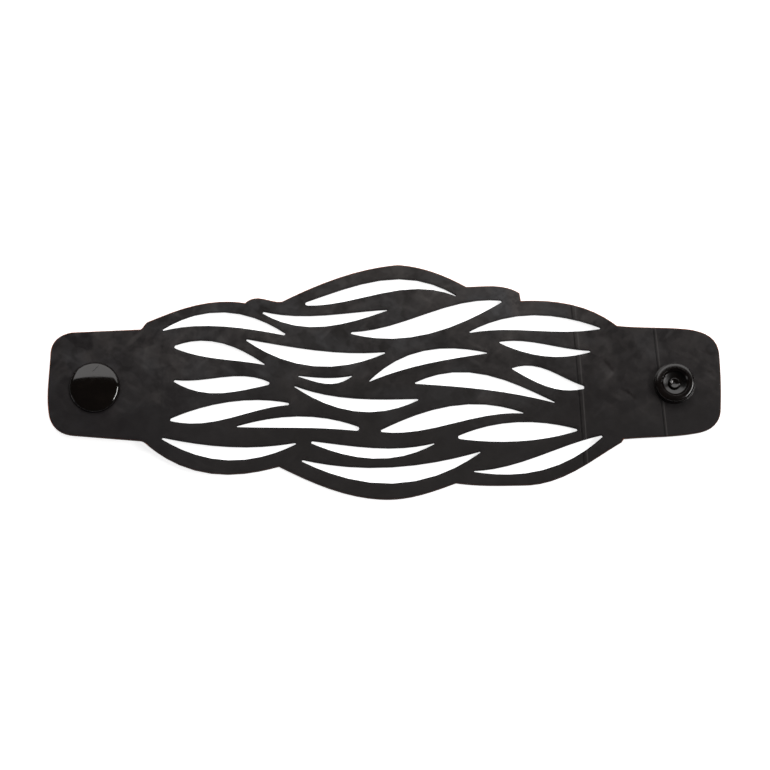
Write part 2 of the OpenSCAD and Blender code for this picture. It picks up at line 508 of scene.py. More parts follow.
@dataclass(frozen=True)
class InnerTubeRubber:
    """Dull black rubber sheet with a cloudy, faintly crinkled skin and cut edges.

    Each coat is laid on where the mesh is painted: the paint's name, the coat's share and its colour. Two
    coats are
    painted light: a highlight on each mould line's right shoulder and shade in the groove along its left
    side.
    """

    deep: Colour = (0.0057, 0.0038, 0.0048)
    skin: Colour = (0.0142, 0.0120, 0.0115)
    warm_bloom: Colour = (0.060, 0.0535, 0.0515)
    cool_bloom: Colour = (0.053, 0.0515, 0.0535)
    dust: Colour = (0.3, 0.29, 0.28)
    coats: tuple[tuple[str, float, Colour], ...] = (
        # painted highlight: paler on each mould line's right shoulder, where the light from the right falls
        ("shoulder_highlight", 0.8, (0.06, 0.056, 0.054)),
        # painted shade: nearly black in the groove along each mould line's left side
        ("groove_shade", 0.8, (0.0012, 0.001, 0.001)),
        ("cut", 1.0, (0.011, 0.009, 0.0085)),
        ("rust", 1.0, (0.62, 0.21, 0.09)),
    )
    sheen_rough: float = 0.46
    dull_rough: float = 0.62
    cut_rough: float = 0.12
    smudges: tuple[Grain, ...] = (Grain(90, 2, 0.5, 0.3, 0.4, 0.64, 0.2),
                                  Grain(320, 2, 0.55, 0.3, 0.37, 0.63, 0.22))
    crinkles: tuple[Patches, ...] = (Patches(190, (0, 0, 0), -42, (0.75, 1.1, 1), 0.36),
                                     Patches(400, (20, 10, 0), 35, (0.8, 1.1, 1), 0.28))
    rub_ways: tuple[tuple[Place, float], ...] = (((0, 0, 0), -45), ((13, 0, 0), 30))
    rub_stretch: Place = (0.36, 1.4, 1)
    rub_bends: float = 300
    rub_wander: float = 1.3
    strokes: Specks = Specks(280, (0.08, 0.37), (0.6, 0.82), 0.32)
    bare: float = 0.19
    tab_fade: Slope = Slope("X", 50, 70, 1.0, 0.75)
    # painted sheen: paler right of the middle and toward the upper edge, where the lights fall
    painted_sheen: tuple[Slope, ...] = (Slope("X", -5, 30), Slope("X", 50, 66, 1.0, 0.0),
                                Slope("Y", 6, 22, 0.0, 0.37))
    dusty_place: Place = (34.6, 22.6, 1.5)
    dusty_reach: float = 7.0
    dusty: Grain = Grain(520, 2, 0.6, 0.0, 0.42, 0.62, 0.55)
    # the left end is darkened as painted shade; the right tab is a little darker too
    end_darkening: tuple[Slope, ...] = (Slope("X", -80, -20, 0.0, 0.8), Slope("X", 35, 75, 1.0, 0.5))
    base_cloud: Grain = Grain(38, 3, 0.5)
    uneven: float = 0.3
    rising: Slope = Slope("Y", -14, 14, 0.17, 1.0)
    rising_cloud: Grain = Grain(45, 2, 0.5)
    rising_wander: float = 30
    tint: Grain = Grain(70, 2, 0.5, 0.0, 0.42, 0.6)
    specks: Specks = Specks(115, (0.011, 0.022), (0.8, 0.82), 0.6)
    crumple: Grain = Grain(210, 1.5, 0.45, 0.2)
    crumple_deg: float = -40
    crumple_stretch: Place = (0.6, 1.2, 1)
    pores: Grain = Grain(900, 2, 0.5)

    def clouds(self, w: Wiring) -> NodeSocket:
        """Finds where the skin is paler, in smudges, patches, slanting rubs and a dusty spot, and adds a
        painted sheen.

        Args:
            w: The material being wired.

        Returns:
            How pale it is, less at the lower edge and on the right tab. Part of it is painted sheen, right of
            the middle and toward the upper edge, where the lights fall.
        """
        mottle = w.math("ADD", *map(w.grain, self.smudges), *map(w.facets, self.crinkles), self.rubs(w))
        mottle = w.math("MULTIPLY", w.math("SUBTRACT", mottle, self.bare), w.slope(self.tab_fade))
        # painted sheen, laid on as a paler skin
        painted_sheen = w.math("MULTIPLY", *map(w.slope, self.painted_sheen))
        dusty = w.math("MULTIPLY", w.spot(self.dusty_place, self.dusty_reach), w.grain(self.dusty))
        return w.math("MULTIPLY", w.math("ADD", mottle, painted_sheen, dusty), self.upper(w), clamp=True)

    def rubs(self, w: Wiring) -> NodeSocket:
        """Finds short, pale, curling rubs that slant one way or the other.

        Args:
            w: The material being wired.

        Returns:
            How strong they are.
        """
        strokes = []
        for offset, turn_deg in self.rub_ways:
            place = w.turned(offset, turn_deg, self.rub_stretch)
            strokes.append(w.specks(self.strokes, w.swayed(place, self.rub_bends, self.rub_wander)))
        return w.math("MAXIMUM", *strokes)

    def middle(self, w: Wiring) -> NodeSocket:
        """Returns how light the base skin is: darkest at the left end, as painted shade, lightest in the
        middle and darker again toward the right tab.
        """
        uneven = w.math("MULTIPLY", w.noise(self.base_cloud), self.uneven)
        return w.math("ADD", w.math("MULTIPLY", *map(w.slope, self.end_darkening)), uneven, clamp=True)

    def upper(self, w: Wiring) -> NodeSocket:
        """Returns a share from little at the lower edge to most above the middle: the pale mottling, partly
        painted sheen, and the crinkles grow with it.
        """
        wander = w.math("SUBTRACT", w.noise(self.rising_cloud), 0.5)
        return w.slope(self.rising, w.math("MULTIPLY", wander, self.rising_wander * MM))

    def material(self) -> Material:
        """Wires the rubber's colour, roughness and fine relief.

        Returns:
            The rubber's material.
        """
        w = Wiring("inner_tube_rubber")
        clouds = self.clouds(w)
        bloom = w.blend(w.grain(self.tint), self.warm_bloom, self.cool_bloom)
        colour = w.blend(clouds, w.blend(self.middle(w), self.deep, self.skin), bloom)
        colour = w.blend(w.specks(self.specks), colour, self.dust)
        for paint, share, tone in self.coats:
            colour = w.blend(w.math("MULTIPLY", w.painted(paint), share), colour, tone)
        polish = w.math("MULTIPLY", clouds, self.dull_rough - self.sheen_rough)
        cut = w.math("MULTIPLY", w.painted("cut"), self.cut_rough)
        rough = w.math("ADD", w.math("SUBTRACT", self.dull_rough, polish), cut)
        crumpled = w.noise(self.crumple, w.turned(turn_deg=self.crumple_deg, stretch=self.crumple_stretch))
        normal = w.relief(w.math("MULTIPLY", crumpled, self.upper(w)), depth_mm=0.6)
        normal = w.relief(w.noise(self.pores), depth_mm=0.025, strength=0.6, over=normal)
        return w.finish(Base_Color=colour, Roughness=rough, Normal=normal, Specular_IOR_Level=0.22)


@dataclass(frozen=True)
class Scratch:
    """A hairline scratch on a glossy dome: its middle, length, width and turn.

    It is full up to a share of its length and of its width from its middle, and fades from there.
    """

    middle: Point
    long: float
    wide: float
    turn_deg: float
    full_long: float = 0.42
    full_wide: float = 0.2

    def mark(self, w: Wiring) -> NodeSocket:
        """Draws the scratch.

        Args:
            w: The material being wired.

        Returns:
            1 on the scratch and 0 off it.
        """
        at = w.turned((*self.middle, 0), self.turn_deg)
        fades = []
        for axis, size, full in (("X", self.long, self.full_long), ("Y", self.wide, self.full_wide)):
            away = w.math("ABSOLUTE", w.axis(axis, at))
            fades.append(w.span(away, full * size * MM, 0.5 * size * MM, 1, 0))
        return w.math("MULTIPLY", *fades)


@dataclass(frozen=True)
class MouldedPlastic:
    """Glossy black moulded plastic with a slightly uneven polish, a little dust and its scratches."""

    name: str
    colour: Colour = (0.0034, 0.0022, 0.0016)
    dust: Colour = (0.09, 0.07, 0.065)
    specks: Specks = Specks(420, (0.035, 0.07), (0.62, 0.64), 0.5)
    patchy: Grain = Grain(260, 4, 0.6, 0.0, 0.4, 0.75)
    patch_pale: float = 1.7
    patch_rough: float = 0.06
    scratch_rough: float = 0.45
    rough: float = 0.06
    waves: Grain = Grain(210, 2, 0.4)
    scratches: tuple[Scratch, ...] = ()

    def material(self) -> Material:
        """Wires the plastic's colour, polish and faint waves.

        Returns:
            The plastic's material.
        """
        w = Wiring(self.name)
        patchy = w.grain(self.patchy)
        colour = w.blend(patchy, self.colour, tuple(self.patch_pale * c for c in self.colour))
        colour = w.blend(w.specks(self.specks), colour, self.dust)
        marks = w.math("MAXIMUM", 0.0, *(scratch.mark(w) for scratch in self.scratches))
        rough = w.math("ADD", self.rough, w.math("MULTIPLY", patchy, self.patch_rough),
                       w.math("MULTIPLY", marks, self.scratch_rough))
        normal = w.relief(w.noise(self.waves), depth_mm=0.004)
        return w.finish(Base_Color=colour, Roughness=rough, Normal=normal, Specular_IOR_Level=0.5)


@dataclass(frozen=True)
class MouldLine:
    """A fine raised line that runs across the strap: its place at the middle, its lean and its bow.

    A groove runs along its left side and is painted with shade, its right shoulder is painted with a
    highlight, and the strap is cut finely beside it.
    """

    x: float
    lean: float
    bow: float
    half: float
    high: float
    soft: float = 0.075
    far: float = 5.0
    groove_share: float = 0.65
    groove_away: float = 2.4
    groove_wide: float = 1.8
    highlight_wide: float = 0.12
    cut_softs: float = 5.0
    cut_past: float = 0.3

    def aside(self, x: np.ndarray, y: np.ndarray) -> np.ndarray:
        """Returns how far each point of the strap stands to the right of the line."""
        return x - (self.x + self.lean * y + self.bow * y * y)

    def lift(self, x: np.ndarray, y: np.ndarray) -> np.ndarray:
        """Shapes a low, level ridge with a fine groove along its left side.

        Args:
            x: Places along the strap.
            y: Places across it.

        Returns:
            The relief at each place.
        """
        aside = np.clip(self.aside(x, y), -self.far, self.far)
        rise = 1 / (1 + np.exp(-(aside + self.half) / self.soft))
        fall = 1 / (1 + np.exp((aside - self.half) / self.soft))
        return self.high * (rise * fall - self.groove_share * self.groove(aside))

    def groove(self, aside: np.ndarray) -> np.ndarray:
        """Returns how near points so far to the right of the line are to its groove, from 0 to 1."""
        foot = -(self.half + self.groove_away * self.soft)
        return np.exp(-(((aside - foot) / (self.groove_wide * self.soft)) ** 2))

    def shoulder_highlight(self, x: np.ndarray, y: np.ndarray) -> np.ndarray:
        """Returns how much painted highlight the ridge's right shoulder gets at each point, from 0 to 1."""
        return np.exp(-(((self.aside(x, y) - self.half) / self.highlight_wide) ** 2))

    def cuts(self, step: float) -> list[float]:
        """Places the cuts beside the line.

        Args:
            step: The distance from one cut to the next.

        Returns:
            How far each cut stands to the right of the line.
        """
        reach = self.half + self.cut_softs * self.soft
        count = math.ceil((2 * reach + self.cut_past) / step)
        return [-reach - self.cut_past + step * i for i in range(count + 1)]


@dataclass(frozen=True)
class Dent:
    """A short crease pressed in between two points, steep on its left side and gentle on its right.

    gentle, end_soft and reach are in widths: the right side, the ends, and how far it can be felt.
    """

    start: Point
    end: Point
    deep: float
    wide: float
    gentle: float = 2.4
    end_soft: float = 1.2
    reach: float = 3.0

    def near(self, x: float, y: float) -> bool:
        """Says whether a point lies in the box round the crease."""
        margin = self.reach * self.wide
        return all(min(a, b) - margin < at < max(a, b) + margin
                   for a, b, at in zip(self.start, self.end, (x, y)))

    def lift(self, x: np.ndarray, y: np.ndarray) -> np.ndarray:
        """Presses the crease in.

        Args:
            x: Places along the strap.
            y: Places across it.

        Returns:
            The relief at each place.
        """
        along = np.array(self.end) - np.array(self.start)
        length = float(np.hypot(*along))
        way = along / length
        dx = x - self.start[0]
        dy = y - self.start[1]
        run = dx * way[0] + dy * way[1]
        side = dx * -way[1] + dy * way[0]
        past = np.maximum(np.maximum(-run, run - length), 0)
        width = np.where(side > 0, self.wide, self.gentle * self.wide)
        return -self.deep * np.exp(-((side / width) ** 2) - (past / (self.end_soft * self.wide)) ** 2)


@dataclass
class PiercedStrap:
    """The rubber strap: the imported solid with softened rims, slight waves, two mould lines and 15 creases.

    A name that ends in _z is the upward part of a face's normal. Each rust way is a direction, the part of
    the normal that has to point there, and the share of rust.
    """

    body: str = "root"
    node: str = "strap"
    rim: float = 0.2
    rim_steps: int = 3
    flat_deg: float = 0.4
    smooth_deg: float = 50.0
    level_z: float = 0.99
    face_z: float = 0.93
    rim_z: float = 0.7
    upper_z: float = 0.5
    steep_z: float = 0.1
    rust_ways: tuple[tuple[Place, float, float], ...] = (((-1, 0, 0), 0.6, 1.0), ((0, 1, 0), 0.2, 0.9),
                                                         ((1, 0, 0), 0.5, 0.45))
    rust_low: float = 0.08
    weld: float = 0.09
    grid: float = 1.25
    line_step: float = 0.13
    line_reach: float = 2.2
    dent_cuts: int = 2
    lines: tuple[MouldLine, ...] = (MouldLine(55.3, -0.067, -0.00045, 0.5, 0.13),
                                    MouldLine(77.9, -0.090, -0.0003, 0.26, 0.11))
    dents: tuple[Dent, ...] = (
        Dent((62.2, 5.2), (64.3, 2.6), 0.26, 0.55),
        Dent((67.0, -3.0), (68.6, -3.7), 0.25, 0.55),
        Dent((68.6, -3.7), (70.2, -5.1), 0.22, 0.5),
        Dent((67.0, -0.7), (69.2, -2.3), 0.14, 0.9),
        Dent((72.4, 2.1), (74.0, 3.1), 0.18, 0.8),
        Dent((73.8, 6.2), (71.6, 5.2), 0.16, 0.9),
        Dent((90.0, 8.0), (92.4, 7.3), 0.2, 0.55),
        Dent((91.4, 2.3), (92.8, 1.7), 0.16, 0.5),
        Dent((39.6, -11.2), (42.5, -12.6), 0.08, 0.5),
        Dent((47.6, -1.7), (49.8, -3.6), 0.08, 0.5),
        Dent((-69.5, 8.0), (-67.2, 10.9), 0.14, 0.7),
        Dent((-66.0, 6.2), (-63.4, 8.8), 0.12, 0.7),
        Dent((-77.0, 10.6), (-80.5, 8.8), 0.12, 0.8),
        Dent((-68.5, 1.2), (-65.0, -1.2), 0.1, 0.8),
        Dent((-62.4, 4.4), (-59.8, 2.2), 0.12, 0.8),
    )
    wave_high: float = 0.26
    still_round_snap: float = 11.0
    still_share: float = 0.75
    rise_share: float = 0.6
    outline: str = "outline"
    snaps: list[Vector] = field(default_factory=list)

    def copy_solid(self) -> Object:
        """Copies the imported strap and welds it.

        Returns:
            The copy.
        """
        source = frame["nodes"][self.node]
        piece = bpy.data.objects.new("rubber_strap", source.data.copy())
        bpy.context.scene.collection.objects.link(piece)
        piece.data.materials.clear()
        Bench.edit(piece)
        bpy.ops.mesh.select_all(action="SELECT")
        bpy.ops.mesh.customdata_custom_splitnormals_clear()
        bpy.ops.mesh.remove_doubles(threshold=SAME_PLACE)
        bpy.ops.mesh.dissolve_limited(angle_limit=math.radians(self.flat_deg))
        bpy.ops.mesh.remove_doubles(threshold=self.weld * MM)
        Bench.done()
        return piece

    def soften_rims(self, piece: Object) -> None:
        """Rounds the edges between the strap's faces and its cut walls.

        Args:
            piece: The strap.
        """
        mesh = piece.data
        level: dict[tuple[int, int], list[bool]] = {}
        for face in mesh.polygons:
            for key in face.edge_keys:
                level.setdefault(tuple(key), []).append(abs(face.normal.z) > self.rim_z)
        rims = {edge.index for edge in mesh.edges if sorted(level.get(tuple(edge.key), [])) == [False, True]}
        Bench.select(piece, Pick.EDGES, lambda edge: edge.index in rims)
        bpy.ops.mesh.bevel(offset=self.rim * MM, segments=self.rim_steps, profile=0.5, affect="EDGES",
                           clamp_overlap=False, loop_slide=False)
        Bench.triangulate()

    def mark_outline(self, piece: Object) -> None:
        """Stores at each face whether it belongs to the wall round the strap's outline.

        Args:
            piece: The strap.
        """
        Bench.select(piece, Pick.FACES, lambda face: abs(face.normal.z) > self.face_z)
        bpy.ops.mesh.hide(unselected=False)
        Bench.done()
        shown = [face for face in piece.data.polygons if not face.hide]
        seed = max(shown, key=lambda face: face.center.x).index
        Bench.select(piece, Pick.FACES, lambda face: face.index == seed)
        bpy.ops.mesh.select_linked()
        Bench.done()
        flags = [int(face.select) for face in piece.data.polygons]
        piece.data.attributes.new(self.outline, "INT", "FACE").data.foreach_set("value", flags)
        Bench.edit(piece, Pick.FACES)
        bpy.ops.mesh.reveal(select=False)
        Bench.done()

    def slice_grid(self, piece: Object) -> None:
        """Cuts the strap into a fine grid, and finer still beside each mould line.

        Args:
            piece: The strap.
        """
        low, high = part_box(self.node)
        Bench.edit(piece, Pick.FACES)
        for axis in (0, 1):
            steps = int((high[axis] - low[axis]) / (self.grid * MM))
            way = Matrix.Identity(3)[axis]
            for i in range(1, steps):
                at = way * (low[axis] + (high[axis] - low[axis]) * i / steps)
                bpy.ops.mesh.select_all(action="SELECT")
                bpy.ops.mesh.bisect(plane_co=at, plane_no=way)
        Bench.done()
        reach = self.line_reach * self.grid
        for line in self.lines:
            for step in line.cuts(self.line_step):
                Bench.select(piece, Pick.FACES,
                             lambda face: abs(line.aside(face.center.x / MM, face.center.y / MM)) < reach)
                bpy.ops.mesh.bisect(plane_co=((line.x + step) * MM, 0, 0), plane_no=(1, -line.lean, 0))
                Bench.done()
        self.refine_dents(piece)

    def refine_dents(self, piece: Object) -> None:
        """Divides the faces round each dent.

        Args:
            piece: The strap.
        """
        def near(face: MeshPolygon) -> bool:
            """Says whether a face of the upper side lies near a dent."""
            x, y = face.center.x / MM, face.center.y / MM
            return face.normal.z >= self.upper_z and any(dent.near(x, y) for dent in self.dents)

        Bench.select(piece, Pick.FACES, near)
        bpy.ops.mesh.subdivide(number_cuts=self.dent_cuts)
        Bench.triangulate()

    def waves(self, x: np.ndarray, y: np.ndarray) -> np.ndarray:
        """Lifts the sheet in four slight waves, 23 to 57 mm long, and leaves it level round each snap.

        Args:
            x: Places along the strap.
            y: Places across it.

        Returns:
            How far each place is lifted.
        """
        wave = (0.30 * np.sin(x / 9.1 + 0.7 * np.sin(y / 12.0)) + 0.28 * np.sin(y / 7.7 + x / 31.0 + 1.3)
                + 0.22 * np.sin((x + 1.4 * y) / 6.3) + 0.20 * np.sin((x - 1.7 * y) / 8.4 + 2.1))
        still = np.ones_like(x)
        start = self.still_share * self.still_round_snap
        rise = self.rise_share * self.still_round_snap
        for snap in self.snaps:
            away = np.hypot(x - snap.x / MM, y - snap.y / MM)
            still *= np.clip((away - start) / rise, 0, 1) ** 2
        return self.wave_high * (0.5 + 0.5 * wave) * still

    def shape(self, piece: Object) -> None:
        """Lifts the sheet in its waves and presses its lines and dents into the upper face.

        Args:
            piece: The strap.
        """
        upper = np.zeros(len(piece.data.vertices), bool)
        for face in piece.data.polygons:
            if face.normal.z > self.upper_z:
                upper[list(face.vertices)] = True
        places = Bench.corners(piece)
        x = places[:, 0] / MM
        y = places[:, 1] / MM
        relief = sum(line.lift(x, y) for line in self.lines) + sum(dent.lift(x, y) for dent in self.dents)
        places[:, 2] += (self.waves(x, y) + np.where(upper, relief, 0)) * MM
        Bench.place_corners(piece, places)

    def tinge(self, normal: Vector) -> float:
        """Says how rusty a face of the outline's wall is.

        Args:
            normal: The face's normal.

        Returns:
            Its share of rust, none unless it leans up.
        """
        if normal.z <= self.steep_z:
            return 0.0
        for way, least, share in self.rust_ways:
            if normal.dot(way) > least:
                return share
        return self.rust_low

    def paint(self, piece: Object) -> None:
        """Stores at each corner how much it is cut wall or rusty upper rim, and the painted highlight on a
        ridge's shoulder and painted shade in its groove.

        Args:
            piece: The strap.
        """
        mesh = piece.data
        count = len(mesh.vertices)
        cut = np.zeros(count)
        rust = np.zeros(count)
        level = np.zeros(count, bool)
        wall = np.zeros(count, bool)
        outline = mesh.attributes[self.outline].data
        for face in mesh.polygons:
            upward = abs(face.normal.z)
            if upward > self.level_z:
                level[list(face.vertices)] = True
                continue
            if upward < self.steep_z:
                wall[list(face.vertices)] = True
            tinge = self.tinge(face.normal) if outline[face.index].value else 0.0
            for v in face.vertices:
                cut[v] = max(cut[v], 1.0 - upward)
                rust[v] = max(rust[v], tinge)
        rust[level | wall] = 0
        cut[level] = 0
        places = Bench.corners(piece) / MM
        x = places[:, 0]
        y = places[:, 1]
        # painted highlight on the ridges' right shoulders and painted shade in their grooves
        shoulder_highlight = np.max([line.shoulder_highlight(x, y) for line in self.lines], axis=0)
        groove_shade = np.max([line.groove(line.aside(x, y)) for line in self.lines], axis=0)
        for name, values in {"cut": cut, "rust": rust, "shoulder_highlight": shoulder_highlight, "groove_shade": groove_shade}.items():
            mesh.attributes.new(name, "FLOAT", "POINT").data.foreach_set("value", values.astype(np.float32))

    def build(self) -> Object:
        """Builds and dresses the strap.

        Returns:
            The finished piece.
        """
        for name in ("front_cap", "back_cap"):
            low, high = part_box(name)
            self.snaps.append((low + high) / 2)
        piece = self.copy_solid()
        self.soften_rims(piece)
        self.mark_outline(piece)
        self.slice_grid(piece)
        self.paint(piece)
        self.shape(piece)
        Bench.smooth(piece, self.smooth_deg)
        piece.data.materials.append(InnerTubeRubber().material())
        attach(piece, self.body)
        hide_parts(self.node)
        return piece


@dataclass
class TurnedPiece:
    """A piece turned about a vertical axis from a profile of radii and heights."""

    name: str
    node: str
    slot: Slot
    finish: MouldedPlastic
    profile: list[Point]
    axis: Vector
    turns: int = 128
    round_mm: float = 0.05
    round_steps: int = 2
    sharp_deg: float = 28.0
    smooth_deg: float = 35.0
    body: str = "root"

    def spin(self) -> Object:
        """Draws the profile from a plane's last corner and spins it into a closed form.

        Returns:
            The turned object.
        """
        Bench.clear_selection()
        first = self.profile[0]
        bpy.ops.mesh.primitive_plane_add(size=MM, location=(0, 0, 0))
        piece = bpy.context.object
        piece.name = self.name
        Bench.edit(piece)
        bpy.ops.mesh.select_all(action="SELECT")
        bpy.ops.mesh.merge(type="CENTER")
        bpy.ops.transform.translate(value=(self.axis.x + first[0] * MM, self.axis.y, first[1] * MM))
        for here, there in zip(self.profile, self.profile[1:]):
            step = ((there[0] - here[0]) * MM, 0, (there[1] - here[1]) * MM)
            bpy.ops.mesh.extrude_vertices_move(TRANSFORM_OT_translate={"value": step})
        bpy.ops.mesh.select_all(action="SELECT")
        centre = (self.axis.x, self.axis.y, 0)
        bpy.ops.mesh.spin(steps=self.turns, angle=math.tau, center=centre, axis=(0, 0, 1))
        bpy.ops.mesh.select_all(action="SELECT")
        bpy.ops.mesh.remove_doubles(threshold=SAME_PLACE)
        bpy.ops.mesh.normals_make_consistent(inside=False)
        Bench.done()
        return piece

    def round_edges(self, piece: Object) -> None:
        """Rounds the piece's sharp edges a little.

        Args:
            piece: The turned object.
        """
        Bench.take(piece)
        bevel = piece.modifiers.new("round", "BEVEL")
        bevel.width = self.round_mm * MM
        bevel.segments = self.round_steps
        bevel.limit_method = "ANGLE"
        bevel.angle_limit = math.radians(self.sharp_deg)
        bpy.ops.object.modifier_apply(modifier=bevel.name)

    def build(self) -> Object:
        """Builds and dresses the piece.

        Returns:
            The finished piece.
        """
        piece = self.spin()
        self.round_edges(piece)
        Bench.smooth(piece, self.smooth_deg)
        piece.data.materials.append(self.finish.material())
        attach(piece, self.body)
        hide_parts(self.node)
        return piece


@dataclass(frozen=True)
class Pin:
    """The pin of a cap, with the flattened head that holds the other half of the snap.

    The head's lower edge is cut off by a chamfer, and the pit's steps are in shares of its radius and depth.
    """

    shank_r: float = 0.9
    long: float = 2.25
    head_r: float = 1.65
    head_t: float = 0.7
    chamfer: Point = (0.08, 0.1)
    shoulder: float = 0.35
    dish_deg: float = 24.0
    pit_r: float = 0.26
    pit_deep: float = 0.12
    pit_steps: tuple[Point, ...] = ((0.75, 0.6), (0.4, 1.0), (0.0, 1.0))

    def profile(self) -> list[Point]:
        """Draws the pin from its foot at 0 over its head into the dish that its top is pressed to.

        Returns:
            The half profile.
        """
        top = self.long + self.head_t
        centre = (self.head_r - self.shoulder, top - self.shoulder)
        edge = arc(centre, self.shoulder, 0, 90 + self.dish_deg, 12)
        dish_r = edge[-1][0] / math.sin(math.radians(self.dish_deg))
        middle = edge[-1][1] + dish_r * math.cos(math.radians(self.dish_deg))
        pit_deg = math.degrees(math.asin(self.pit_r / dish_r))
        dish = arc((0.0, middle), dish_r, self.dish_deg - 90, pit_deg - 90, 10)
        floor = middle - dish_r
        return [
            (self.shank_r, 0.0),
            (self.shank_r, self.long),
            (self.head_r - self.chamfer[0], self.long),
            (self.head_r, self.long + self.chamfer[1]),
            *edge,
            *dish[1:],
            *((r * self.pit_r, floor - z * self.pit_deep) for r, z in self.pit_steps),
        ]


@dataclass(frozen=True)
class DomedCap:
    """A cap: its dome, the shoulder where it falls faster, the round of its rim, its edge and its pin."""

    radius: float = 7.2
    edge: float = 0.5
    dome: float = 1.4
    dome_r: float = 27.0
    face_r: float = 6.0
    shoulder_r: float = 3.4
    shoulder_deg: float = 25.0
    pin: Pin = Pin()

    def profile(self) -> list[Point]:
        """Draws a cap dome down, with its flat side at 0 and its pin up.

        Returns:
            The half profile.
        """
        height = self.edge + self.dome
        lean = math.asin(self.face_r / self.dome_r)
        lean_deg = math.degrees(lean)
        face = arc((0.0, self.dome_r - height), self.dome_r, -90, lean_deg - 90, 26)
        face[0] = (0.0, -height)
        middle_z = face[-1][1] + self.shoulder_r * math.cos(lean)
        middle = (self.face_r - self.shoulder_r * math.sin(lean), middle_z)
        shoulder = arc(middle, self.shoulder_r, lean_deg - 90, self.shoulder_deg - 90, 8)
        fall = math.radians(self.shoulder_deg)
        rim_r = (self.radius - shoulder[-1][0]) / (1 - math.sin(fall))
        rim_middle = (self.radius - rim_r, shoulder[-1][1] + rim_r * math.cos(fall))
        rim = arc(rim_middle, rim_r, self.shoulder_deg - 90, 0, 12)
        return [*face, *shoulder[1:], *rim[1:], (self.radius, 0.0), *self.pin.profile()]

    def lying(self) -> list[Point]:
        """Returns the profile of a cap that stands on its dome at height 0."""
        return [(r, z + self.edge + self.dome) for r, z in self.profile()]

    def upright(self, underside: float) -> list[Point]:
        """Returns the profile of a cap dome up, with its flat side at a height."""
        return [(r, underside - z) for r, z in self.profile()]


@dataclass(frozen=True)
class SnapStud:
    """The stud: its flange, waist, bulge, nose and hollow."""

    high: float = 3.5
    flange_r: float = 5.65
    flange_t: float = 1.0
    flange_round: float = 0.5
    flange_round_z: float = 0.4
    waist_r: float = 2.9
    waist_rise: float = 0.2
    bulge_r: float = 3.15
    nose: float = 0.4
    bulge_top: float = 1.4
    hollow_r: float = 2.1
    chamfer: float = 0.15
    hole_r: float = 1.0
    floor_t: float = 0.6

    def profile(self) -> list[Point]:
        """Draws a stud that stands on its nose at height 0.

        Returns:
            The half profile.
        """
        under = self.high - self.flange_t
        ceiling = self.high - self.floor_t
        middle = (self.flange_r - self.flange_round, under + self.flange_round_z)
        return [
            (self.hole_r, ceiling),
            (self.hole_r, self.high),
            (self.flange_r, self.high),
            (self.flange_r, middle[1]),
            *arc(middle, self.flange_round, 0, -80, 8)[1:-1],
            (middle[0], under),
            (self.waist_r + self.chamfer, under),
            (self.waist_r, under - self.chamfer),
            (self.waist_r, self.bulge_top + self.waist_rise),
            (self.bulge_r, self.bulge_top),
            *arc((self.bulge_r - self.nose, self.nose), self.nose, 0, -90, 8),
            (self.hollow_r + self.chamfer, 0.0),
            (self.hollow_r, self.chamfer),
            (self.hollow_r, ceiling),
            (self.hole_r, ceiling),
        ]


@dataclass(frozen=True)
class SnapSocket:
    """The socket: its foot, its wall and crown, its funnel, lip and groove, and its floor.

    The crown is three arcs: nearly level from the mouth outwards, then falling faster, then turning down
    into the wall. The floor is a shallow bowl. The funnel's points are counted inwards and down from the
    mouth, and the lip's outwards and up from its upper edge.
    """

    high: float = 3.2
    foot_r: float = 5.8
    foot_t: float = 0.8
    crown_start: float = 3.9
    crown_arcs: tuple[tuple[float, float, float], ...] = ((7.2, 0, 6), (1.77, 6, 30), (0.3, 30, 90))
    mouth_edge: float = 0.1
    funnel: tuple[Point, ...] = ((0.02, 0.3), (0.08, 0.38))
    lip_r: float = 3.25
    lip_low: float = 1.65
    lip_top: float = 2.45
    lip_edge: tuple[Point, ...] = ((0.08, 0.14), (0.02, 0.06), (0.0, -0.04))
    groove_r: float = 3.45
    groove_fall: float = 0.2
    hole_r: float = 1.0
    floor_t: float = 0.6
    bowl_r: float = 1.72
    bowl_edge: float = 0.06
    bowl_deg: float = 10.5
    fillet_r: float = 0.25

    def profile(self, base: float) -> list[Point]:
        """Draws a socket with its mouth up.

        Args:
            base: The height of its underside.

        Returns:
            The half profile.
        """
        crown = [(self.crown_start, self.high)]
        for radius, from_deg, to_deg in self.crown_arcs:
            lean = math.radians(from_deg)
            centre = (crown[-1][0] - radius * math.sin(lean), crown[-1][1] - radius * math.cos(lean))
            crown += arc(centre, radius, 90 - from_deg, 90 - to_deg, 8)[1:]
        mouth = arc((self.crown_start, self.high - self.mouth_edge), self.mouth_edge, 90, 180, 5)
        bowl_end = self.bowl_r + self.bowl_edge
        points = [
            (self.hole_r, 0.0),
            (self.foot_r, 0.0),
            (self.foot_r, self.foot_t),
            (crown[-1][0], self.foot_t),
            *reversed(crown),
            *mouth[1:],
            *((mouth[-1][0] - r, self.high - z) for r, z in self.funnel),
            *((self.lip_r + r, self.lip_top + z) for r, z in self.lip_edge),
            (self.lip_r, self.lip_low),
            (self.groove_r, self.lip_low - self.groove_fall),
            *reversed(self.bowl_fillet()),
            (bowl_end, self.bowl(bowl_end)),
            (self.bowl_r, self.floor_t),
            (self.hole_r, self.floor_t),
            (self.hole_r, 0.0),
        ]
        return [(r, z + base) for r, z in points]

    def bowl(self, r: float) -> float:
        """Returns the height of the sloping floor at a radius."""
        return self.floor_t + (r - self.bowl_r) * math.tan(math.radians(self.bowl_deg))

    def bowl_fillet(self) -> list[Point]:
        """Rounds the corner from the sloping floor up into the groove's wall.

        Returns:
            The corner's points.
        """
        slope = math.radians(self.bowl_deg)
        middle_r = self.groove_r - self.fillet_r
        start_z = self.bowl(middle_r + self.fillet_r * math.sin(slope))
        centre = (middle_r, start_z + self.fillet_r * math.cos(slope))
        return arc(centre, self.fillet_r, self.bowl_deg - 90, 0, 8)


